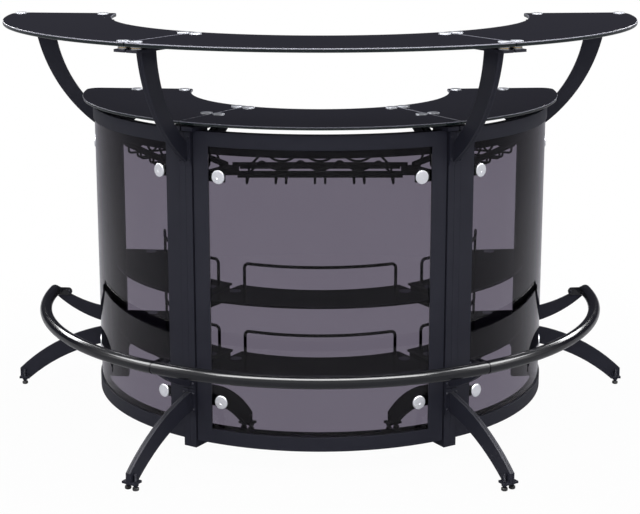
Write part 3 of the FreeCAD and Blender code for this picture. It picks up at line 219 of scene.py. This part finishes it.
def powder_coat():
    """Satin black stove coat with a fine orange peel."""
    coat = new_finish("satin_black_coat")
    cloud = coat.noise(coat.spot(), 30.0)
    peel = coat.noise(coat.spot(), 900.0, 2.0)
    return coat.surface({
        "Base Color": coat.blend(cloud, (0.0145, 0.0150, 0.0240, 1.0), (0.0185, 0.0190, 0.0295, 1.0)),
        "Roughness": 0.44 + cloud * 0.12,
        "Specular IOR Level": 0.17,
        "Normal": coat.bump(peel, 0.08, 0.0004),
    })


def gloss_paint():
    """Deep gloss black of the foot rail."""
    paint = new_finish("gloss_black_paint")
    cloud = paint.noise(paint.spot(), 18.0)
    ripple = paint.noise(paint.spot(), 260.0, 1.0)
    return paint.surface({
        "Base Color": paint.blend(cloud, (0.0055, 0.0058, 0.0085, 1.0), (0.0080, 0.0084, 0.0120, 1.0)),
        "Roughness": 0.14 + cloud * 0.05,
        "Specular IOR Level": 0.25,
        "Coat Weight": 0.25,
        "Coat Roughness": 0.07,
        "Normal": paint.bump(ripple, 0.04, 0.0003),
    })


def black_glass():
    """Opaque black glass with a dark greenish edge, and a paler ground arris whose pale colour is partly a
    painted highlight of the light the eased edge catches.
    """
    glass = new_finish("black_glass")
    facing = glass.node("ShaderNodeNewGeometry", {}, {}, "True Normal")
    upright = glass.along(facing, "Z")
    # The eased arris band: a ground arris, with a pale colour that is partly a painted highlight along the
    # edge
    arris_and_highlight = glass.ramp(upright, 0.15, 0.25) * (1.0 - glass.ramp(upright, 0.93, 0.98))
    side = 1.0 - glass.ramp(upright, 0.15, 0.25)
    smear = glass.noise(glass.stretched((1.0, 3.0, 1.0)), 9.0, 4.0)
    face = glass.blend(smear, (0.0045, 0.0045, 0.0068, 1.0), (0.0062, 0.0062, 0.0090, 1.0))
    rim = glass.blend(side, face, (0.010, 0.016, 0.017, 1.0))
    return glass.surface({
        # Pale lilac-grey on the arris: part ground-glass colour, part painted highlight
        "Base Color": glass.blend(arris_and_highlight, rim, (0.15, 0.15, 0.19, 1.0)),
        "Roughness": 0.02 + smear * 0.05 + arris_and_highlight * 0.60,
        "IOR": 1.5,
    })


def smoked_sheet():
    """See-through mauve-grey sheet. Its index is low, so that the shelves behind it stay dark."""
    sheet = new_finish("smoked_sheet")
    drift = sheet.noise(sheet.spot(), 4.0, 2.0)
    return sheet.surface({
        "Base Color": sheet.blend(drift, (0.133, 0.117, 0.154, 1.0), (0.145, 0.129, 0.168, 1.0)),
        "Roughness": drift * 0.01,
        "Transmission Weight": 1.0,
        "IOR": 1.27,
    })


def satin_steel():
    """Pale satin metal of the panel discs."""
    steel = new_finish("satin_steel")
    brush = steel.noise(steel.stretched((1.0, 1.0, 14.0)), 420.0, 3.0)
    cloud = steel.noise(steel.spot(), 90.0)
    return steel.surface({
        "Base Color": steel.blend(cloud, (0.80, 0.81, 0.85, 1.0), (0.88, 0.89, 0.93, 1.0)),
        "Metallic": 1.0,
        "Roughness": 0.30 + brush * 0.14,
        "Normal": steel.bump(brush, 0.06, 0.0002),
    })


def bright_metal(name, dull, bright, roughness):
    """Plated metal with a little tarnish in its tone."""
    metal = new_finish(name)
    cloud = metal.noise(metal.spot(), 160.0)
    return metal.surface({
        "Base Color": metal.blend(cloud, dull, bright),
        "Metallic": 1.0,
        "Roughness": roughness + cloud * 0.10,
    })


def pad_rubber():
    """Dull black rubber of the feet."""
    rubber = new_finish("pad_rubber")
    grain = rubber.noise(rubber.spot(), 1100.0, 2.0)
    return rubber.surface({
        "Base Color": rubber.blend(grain, (0.011, 0.011, 0.012, 1.0), (0.022, 0.022, 0.023, 1.0)),
        "Roughness": 0.55 + grain * 0.2,
        "Normal": rubber.bump(grain, 0.25, 0.0004),
    })


def clear_selection():
    if bpy.context.mode != "OBJECT":
        bpy.ops.object.mode_set(mode="OBJECT")
    bpy.ops.object.select_all(action="DESELECT")


def take(piece):
    clear_selection()
    piece.select_set(True)
    bpy.context.view_layer.objects.active = piece


def edit(piece, kind):
    take(piece)
    bpy.ops.object.mode_set(mode="EDIT")
    bpy.ops.mesh.select_mode(type=kind)
    bpy.ops.mesh.select_all(action="SELECT")


def leave():
    bpy.ops.object.mode_set(mode="OBJECT")


def settle(piece, name, node, material, body="bar"):
    """Give a finished piece its name, finish and place in the frame."""
    take(piece)
    piece.name = name
    if material is not None:
        piece.data.materials.clear()
        piece.data.materials.append(material)
    bpy.ops.object.shade_smooth_by_angle(angle=SMOOTH_ANGLE)
    weigh = piece.modifiers.new("flat_faces", "WEIGHTED_NORMAL")
    weigh.keep_sharp = True
    bpy.ops.object.modifier_apply(modifier=weigh.name)
    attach(piece, body)
    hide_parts(node)


def eased_copy(node, ease, segments, shortest):
    """A node's solid with its flat faces made whole and its long sharp edges eased."""
    piece = bpy.data.objects.new(node + "_eased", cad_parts[node].data.copy())
    bpy.context.scene.collection.objects.link(piece)
    edit(piece, "EDGE")
    bpy.ops.mesh.customdata_custom_splitnormals_clear()
    bpy.ops.mesh.remove_doubles(threshold=0.000004)
    bpy.ops.mesh.dissolve_limited(angle_limit=FLAT_ANGLE)
    if ease:
        bpy.ops.mesh.select_all(action="DESELECT")
        bpy.ops.mesh.edges_select_sharp(sharpness=SHARP_ANGLE)
        leave()
        points = piece.data.vertices
        for line in piece.data.edges:
            start, end = line.vertices
            if (points[start].co - points[end].co).length < shortest:
                line.select = False
        bpy.ops.object.mode_set(mode="EDIT")
        bpy.ops.mesh.bevel(offset=ease, segments=segments, affect="EDGES", clamp_overlap=True)
    leave()
    return piece


def sheet_work(node, name, material, ease, segments, shortest=SHORT_EDGE):
    """A piece of sheet, plate, tube or wire: the node's solid with eased edges."""
    settle(eased_copy(node, ease, segments, shortest), name, node, material)


def turned(profile, steps):
    """A turned piece about the upright axis, from a profile of (radius, height) points."""
    clear_selection()
    bpy.ops.mesh.primitive_plane_add(size=0.001)
    piece = bpy.context.object
    edit(piece, "VERT")
    bpy.ops.mesh.merge(type="CENTER")
    radius, height = profile[0]
    bpy.ops.transform.translate(value=(radius, 0.0, height))
    for next_radius, next_height in profile[1:]:
        step = (next_radius - radius, 0.0, next_height - height)
        bpy.ops.mesh.extrude_vertices_move(TRANSFORM_OT_translate={"value": step})
        radius, height = next_radius, next_height
    bpy.ops.mesh.select_all(action="SELECT")
    bpy.ops.mesh.spin(steps=steps, angle=2.0 * math.pi, center=(0.0, 0.0, 0.0), axis=(0.0, 0.0, 1.0))
    bpy.ops.mesh.select_all(action="SELECT")
    bpy.ops.mesh.remove_doubles(threshold=0.000002)
    bpy.ops.mesh.normals_make_consistent(inside=False)
    leave()
    return piece


def hexagon(across_flats, bottom, top):
    clear_selection()
    bpy.ops.mesh.primitive_cylinder_add(
        vertices=6,
        radius=across_flats / 2.0 / math.cos(math.radians(30)),
        depth=top - bottom,
        location=(0.0, 0.0, (top + bottom) / 2.0),
        rotation=(0.0, 0.0, math.radians(30)),
    )
    bpy.ops.object.transform_apply(location=True, rotation=True, scale=True)
    return bpy.context.object


def combine(piece, tool, operation):
    """Cut one solid by another, or keep what they share."""
    take(piece)
    cut = piece.modifiers.new("shape", "BOOLEAN")
    cut.operation = operation
    cut.solver = "EXACT"
    cut.object = tool
    bpy.ops.object.modifier_apply(modifier=cut.name)
    bpy.data.objects.remove(tool)


def joined(pieces):
    clear_selection()
    for piece in pieces:
        piece.select_set(True)
    bpy.context.view_layer.objects.active = pieces[0]
    bpy.ops.object.join()
    return bpy.context.object


def placed_copies(pattern, places):
    """Copies of one pattern, each with its own mesh, joined as one piece."""
    copies = []
    for place in places:
        copy = pattern.copy()
        copy.data = pattern.data.copy()
        bpy.context.scene.collection.objects.link(copy)
        copy.matrix_world = place
        copies.append(copy)
    clear_selection()
    for copy in copies:
        copy.select_set(True)
    bpy.context.view_layer.objects.active = copies[0]
    bpy.ops.object.transform_apply(location=True, rotation=True, scale=True)
    if len(copies) > 1:
        bpy.ops.object.join()
    bpy.data.objects.remove(pattern)
    return bpy.context.object


def unit_place(index):
    return Matrix.Translation((0.0, AXIS_Y, 0.0)) @ Matrix.Rotation(index * SPAN, 4, "Z")


def side_place(index, hand):
    """A side's own frame: x along the radius, y across the seam, z up."""
    turn = (index + hand / 2.0) * SPAN - math.pi / 2.0
    return Matrix.Translation((0.0, AXIS_Y, 0.0)) @ Matrix.Rotation(turn, 4, "Z")


def side_spots(radii, across, heights, turn=Matrix()):
    """Places on all the sides, at each radius and height."""
    spots = []
    for index, hand in SIDES.values():
        for radius in radii:
            for height in heights:
                spot = Matrix.Translation((radius, -hand * across, height))
                spots.append(side_place(index, hand) @ spot @ turn)
    return spots


coat = powder_coat()
rail_paint = gloss_paint()
glass = black_glass()
smoke = smoked_sheet()
silver = satin_steel()
polished = bright_metal("polished_steel", (0.36, 0.37, 0.40, 1.0), (0.42, 0.43, 0.46, 1.0), 0.36)
plate = bright_metal("bright_plate", (0.72, 0.73, 0.75, 1.0), (0.86, 0.87, 0.89, 1.0), 0.06)
brass = bright_metal("brass_plate", (0.56, 0.40, 0.17, 1.0), (0.74, 0.55, 0.26, 1.0), 0.22)
rubber = pad_rubber()

for unit in UNITS:
    sheet_work(f"upper_top_{unit}", f"upper_glass_{unit}", glass, UPPER_TOP_EASE, 3)
    sheet_work(f"lower_top_{unit}", f"lower_glass_{unit}", glass, LOWER_TOP_EASE, 3)
    for level in ("upper", "lower"):
        shelf = f"{level}_shelf_glass_{unit}"
        sheet_work(f"{level}_shelf_{unit}", shelf, glass, SHELF_EASE, 2)
    sheet_work(f"smoked_panel_{unit}", f"smoked_sheet_{unit}", smoke, PANEL_EASE, 2)
    sheet_work(f"panel_frame_{unit}", f"panel_surround_{unit}", coat, METAL_EASE, 2)
    tube = f"rail_tube_{unit}"
    sheet_work(f"foot_rail_{unit}", tube, rail_paint, TUBE_EASE, 2, SHORT_TUBE_EDGE)
    sheet_work(f"gallery_rails_{unit}", f"gallery_wires_{unit}", coat, 0.0, 0)
    sheet_work(f"glass_rack_{unit}", f"rack_wires_{unit}", coat, 0.0, 0)
for side in SIDES:
    sheet_work(f"side_frame_{side}", f"post_{side}", coat, METAL_EASE, 2)
    sheet_work(f"arm_{side}", f"swept_arm_{side}", coat, METAL_EASE, 2)
sheet_work("outer_legs", "outer_leg_plates", coat, PLATE_EASE, 2)
sheet_work("inner_legs", "inner_leg_plates", coat, PLATE_EASE, 2)
sheet_work("rail_brackets", "bracket_plates", coat, PLATE_EASE, 2)
joiners = "rail_sleeves_and_plugs"
sheet_work("rail_joiners", joiners, rail_paint, JOINER_EASE, 2, SHORT_TUBE_EDGE)


def top_cap(stem_length):
    """A disc with a soft rim and a shallow turned dish, on its stem."""
    return turned((
        (0.0, -stem_length),
        (0.0034, -stem_length),
        (0.0040, -stem_length + 0.0006),
        (0.0040, 0.0),
        (0.0146, 0.0),
        (0.0150, 0.0004),
        (0.0150, 0.0011),
        (0.0147, 0.0016),
        (0.0140, 0.0019),
        (0.0130, 0.0020),
        (0.0112, 0.0020),
        (0.0108, 0.0018),
        (0.0, 0.0016),
    ), 48)


def puck(height):
    """The bright turned puck under a glass top, with a brass neck."""
    neck_low, neck_high = height * 0.40, height * 0.62
    piece = turned((
        (0.0042, 0.0),
        (0.0126, 0.0),
        (0.0130, 0.0004),
        (0.0130, neck_low),
        (0.0112, neck_low + 0.0002),
        (0.0112, neck_high - 0.0002),
        (0.0130, neck_high),
        (0.0130, height - 0.0004),
        (0.0126, height),
        (0.0042, height),
        (0.0042, 0.0),
    ), 48)
    piece.data.materials.append(plate)
    piece.data.materials.append(brass)
    for face in piece.data.polygons:
        reach = math.hypot(face.center.x, face.center.y)
        if 0.0100 < reach < 0.0125 and neck_low < face.center.z < neck_high:
            face.material_index = 1
    return piece


disc_caps = joined([
    placed_copies(top_cap(TOP_STEM), side_spots(UPPER_FIXINGS, FIXING_ACROSS, (UPPER_TOP_FACE,))),
    placed_copies(top_cap(TOP_STEM), side_spots(LOWER_FIXINGS, FIXING_ACROSS, (LOWER_TOP_FACE,))),
    placed_copies(top_cap(SHELF_STEM), side_spots((SHELF_FIXING,), SHELF_FIXING_ACROSS, SHELF_FACES)),
])
settle(disc_caps, "disc_caps", "top_caps", polished)

upper_seat = UPPER_TOP_UNDERSIDE - UPPER_PUCK_HEIGHT
lower_seat = LOWER_TOP_UNDERSIDE - LOWER_PUCK_HEIGHT
pucks = joined([
    placed_copies(puck(UPPER_PUCK_HEIGHT), side_spots(UPPER_FIXINGS, FIXING_ACROSS, (upper_seat,))),
    placed_copies(puck(LOWER_PUCK_HEIGHT), side_spots(LOWER_FIXINGS, FIXING_ACROSS, (lower_seat,))),
])
settle(pucks, "standoff_pucks", "top_standoffs", None)


def panel_cap():
    """A flat disc with a soft rim and a small dimple, on its stem."""
    return turned((
        (0.0, -0.0103),
        (0.0026, -0.0103),
        (0.0030, -0.0099),
        (0.0030, 0.0),
        (0.0166, 0.0),
        (0.0170, 0.0004),
        (0.0170, 0.0024),
        (0.0167, 0.0032),
        (0.0160, 0.0038),
        (0.0150, 0.0040),
        (0.0042, 0.0040),
        (0.0038, 0.0037),
        (0.0, 0.0036),
    ), 56)


def panel_cap_spots():
    """Four places on each smoked panel, square to its curve."""
    spots = []
    for index in UNITS.values():
        for hand in (-1, 1):
            bearing = hand * math.asin(PANEL_CAP_X / PANEL_FACE_RADIUS)
            radial = Matrix.Rotation(bearing - math.pi / 2.0, 4, "Z")
            for height in PANEL_CAP_HEIGHTS:
                spot = Matrix.Translation((PANEL_FACE_RADIUS + PANEL_CAP_GAP, 0.0, height))
                spots.append(unit_place(index) @ radial @ spot @ OUTWARDS)
    return spots


panel_discs = placed_copies(panel_cap(), panel_cap_spots())
settle(panel_discs, "panel_discs", "panel_caps", silver)


def button_bolt():
    """A button-head bolt with a hexagon socket."""
    bolt = turned((
        (0.0, -0.0100),
        (0.0020, -0.0100),
        (0.0025, -0.0095),
        (0.0025, 0.0),
        (0.0043, 0.0),
        (0.0045, 0.0003),
        (0.0045, 0.0009),
        (0.0042, 0.0016),
        (0.0036, 0.0023),
        (0.0029, 0.0028),
        (0.0023, 0.0030),
        (0.0, 0.0030),
    ), 24)
    combine(bolt, hexagon(0.0025, 0.0014, 0.0040), "DIFFERENCE")
    return bolt


def bolt_spots():
    """Bolts on the outer and inner flanges, and one through each tab of the foot rail."""
    spots = side_spots((FLANGE_FACE,), BOLT_ACROSS, OUTER_BOLT_HEIGHTS, OUTWARDS)
    spots += side_spots((INNER_FLANGE_FACE,), BOLT_ACROSS, INNER_BOLT_HEIGHTS, INWARDS)
    for index, hand in SIDES.values():
        spot = Matrix.Translation((TAB_BOLT_RADIUS, -hand * TAB_BOLT_ACROSS, RAIL_HEIGHT))
        across = Matrix.Rotation(hand * QUARTER_TURN, 4, "X")
        spots.append(side_place(index, hand) @ spot @ across)
    return spots


button_bolts = placed_copies(button_bolt(), bolt_spots())
settle(button_bolts, "button_bolts", "flange_bolts", coat)


def lock_nut():
    """A hexagon with both faces chamfered, and a bore."""
    nut = hexagon(0.013, 0.0, 0.005)
    chamfer = turned((
        (0.0, -0.0002),
        (0.0062, -0.0002),
        (0.0079, 0.0009),
        (0.0079, 0.0041),
        (0.0062, 0.0052),
        (0.0, 0.0052),
    ), 48)
    combine(nut, chamfer, "INTERSECT")
    clear_selection()
    bpy.ops.mesh.primitive_cylinder_add(vertices=32, radius=0.00408, depth=0.02)
    combine(nut, bpy.context.object, "DIFFERENCE")
    return nut


lock_nuts = placed_copies(lock_nut(), side_spots(FOOT_RADII.values(), FOOT_ACROSS, (NUT_BOTTOM,)))
settle(lock_nuts, "lock_nuts", "foot_lock_nuts", coat)


def levelling_foot():
    """A grooved round pad on a screw, with the thread shown as rings."""
    profile = [
        (0.0, 0.0),
        (0.0062, 0.0),
        (0.0070, 0.0006),
        (0.0078, 0.0012),
        (0.0080, 0.0018),
        (0.0080, 0.0040),
        (0.0076, 0.0044),
        (0.0076, 0.0050),
        (0.0080, 0.0054),
        (0.0080, 0.0064),
        (0.0077, 0.0071),
        (0.0069, 0.0078),
        (0.0062, FOOT_PAD_TOP),
        (0.0035, FOOT_PAD_TOP),
    ]
    height = FOOT_PAD_TOP + 0.0004
    while height + THREAD_PITCH < THREAD_END:
        profile.append((0.0035, height))
        profile.append((0.0040, height + THREAD_PITCH * 0.42))
        profile.append((0.0040, height + THREAD_PITCH * 0.58))
        height += THREAD_PITCH
    profile.append((0.0035, height))
    profile.append((0.0030, SCREW_TOP))
    profile.append((0.0, SCREW_TOP))
    return turned(profile, 24)


for side, (index, hand) in SIDES.items():
    for end, radius in FOOT_RADII.items():
        spot = Matrix.Translation((radius, -hand * FOOT_ACROSS, 0.0))
        foot = placed_copies(levelling_foot(), [side_place(index, hand) @ spot])
        foot.data.materials.append(rubber)
        foot.data.materials.append(coat)
        for face in foot.data.polygons:
            face.material_index = 1 if face.center.z > FOOT_PAD_TOP + 0.0001 else 0
        node = f"foot_{side}_{end}"
        settle(foot, f"levelling_foot_{side}_{end}", node, None, body=node)


def studio_floor():
    """Pale floor, white to the eye away from the bar. It keeps a faint shadow near the bar."""
    ground = new_finish("studio_floor")
    seen = ground.ray("Is Camera Ray") + ground.ray("Is Transmission Ray")
    distance = ground.node("ShaderNodeVectorMath", {"operation": "LENGTH"}, {0: ground.spot()}, "Value")
    far = ground.ramp(distance * 0.2, 0.20, 0.40)
    cloud = ground.noise(ground.spot(), 3.0)
    matt = ground.node("ShaderNodeBsdfPrincipled", {}, {
        "Base Color": ground.blend(cloud, (0.50, 0.50, 0.51, 1.0), (0.53, 0.53, 0.54, 1.0)),
        "Roughness": 0.9,
    })
    glow = ground.node("ShaderNodeEmission", {}, {"Color": WHITE, "Strength": 1.0})
    mixed = ground.node("ShaderNodeMixShader", {}, {0: seen * (0.97 + far * 0.03), 1: matt, 2: glow})
    ground.node("ShaderNodeOutputMaterial", {}, {"Surface": mixed})
    return ground.owner


clear_selection()
bpy.ops.mesh.primitive_plane_add(size=40.0)
floor = bpy.context.object
floor.name = "studio_floor"
floor.data.materials.append(studio_floor())


def studio_world():
    """White to the eye and through glass, and a dim sky as a light.

    Mirrored, it is white in front and dim behind the bar.
    """
    world = bpy.data.worlds.new("studio")
    bpy.context.scene.world = world
    studio = Finish(world)
    direction = studio.node("ShaderNodeTexCoord", {}, {}, "Generated")
    fade = {"Value": studio.along(direction, "Y"), "From Min": 0.40, "From Max": 0.0}
    front = studio.node("ShaderNodeMapRange", {}, fade)
    mirrored = studio.ray("Is Glossy Ray") * front
    direct = studio.ray("Is Camera Ray") + studio.ray("Is Transmission Ray")
    low, high = (0.045, 0.045, 0.058, 1.0), (0.60, 0.61, 0.64, 1.0)
    sky = studio.ramp(studio.along(direction, "Z"), 0.30, 0.85, low, high)
    dim = studio.node("ShaderNodeBackground", {}, {"Color": sky})
    white = studio.node("ShaderNodeBackground", {}, {"Color": WHITE})
    mixed = studio.node("ShaderNodeMixShader", {}, {0: mirrored.larger(direct), 1: dim, 2: white})
    studio.node("ShaderNodeOutputWorld", {}, {"Surface": mixed})


studio_world()


def softbox(name, place, target, width, height, power, lights=True, mirrored=True):
    """A soft lamp that lights the bar, is mirrored in it, or both."""
    lamp = bpy.data.lights.new(name, "AREA")
    lamp.shape = "RECTANGLE"
    lamp.size = width
    lamp.size_y = height
    lamp.energy = power
    holder = bpy.data.objects.new(name, lamp)
    bpy.context.scene.collection.objects.link(holder)
    holder.location = place
    holder.rotation_euler = (Vector(target) - Vector(place)).to_track_quat("-Z", "Y").to_euler()
    holder.visible_diffuse = lights
    holder.visible_glossy = mirrored


softbox("overhead_box", (0.0, -0.6, 3.3), (0.0, 0.0, 0.3), 3.4, 2.4, 50.0)
softbox("rail_strip", (0.0, -1.6, 2.9), (0.0, -0.3, 0.3), 4.2, 1.4, 360.0, lights=False)
for hand in (-1, 1):
    above = (hand * 2.7, 0.0, 2.9)
    softbox("side_rail_strip", above, (hand * 0.4, -0.2, 0.3), 1.4, 1.6, 110.0, lights=False)
    softbox("bend_strip", (hand * 2.2, 2.1, 1.75), (hand * 0.65, 0.0, 0.3), 1.5, 0.5, 34.0, lights=False)
softbox("front_fill", (0.0, -4.4, 2.0), (0.0, 0.0, 0.5), 4.5, 2.4, 72.0, mirrored=False)
softbox("left_box", (-3.9, -0.9, 2.3), (0.0, 0.1, 0.6), 2.0, 1.8, 30.0)
softbox("right_box", (3.9, -0.9, 2.3), (0.0, 0.1, 0.6), 2.0, 1.8, 30.0)

camera_data = bpy.data.cameras.new("camera")
camera_data.sensor_width = SENSOR_WIDTH
camera_data.lens = CAMERA_LENS
camera_data.shift_x, camera_data.shift_y = CAMERA_SHIFT
camera = bpy.data.objects.new("camera", camera_data)
bpy.context.scene.collection.objects.link(camera)
camera.location = CAMERA_PLACE
camera.rotation_euler = (QUARTER_TURN - CAMERA_PITCH, 0.0, 0.0)
bpy.context.scene.camera = camera
bpy.context.scene.view_settings.view_transform = "Standard"
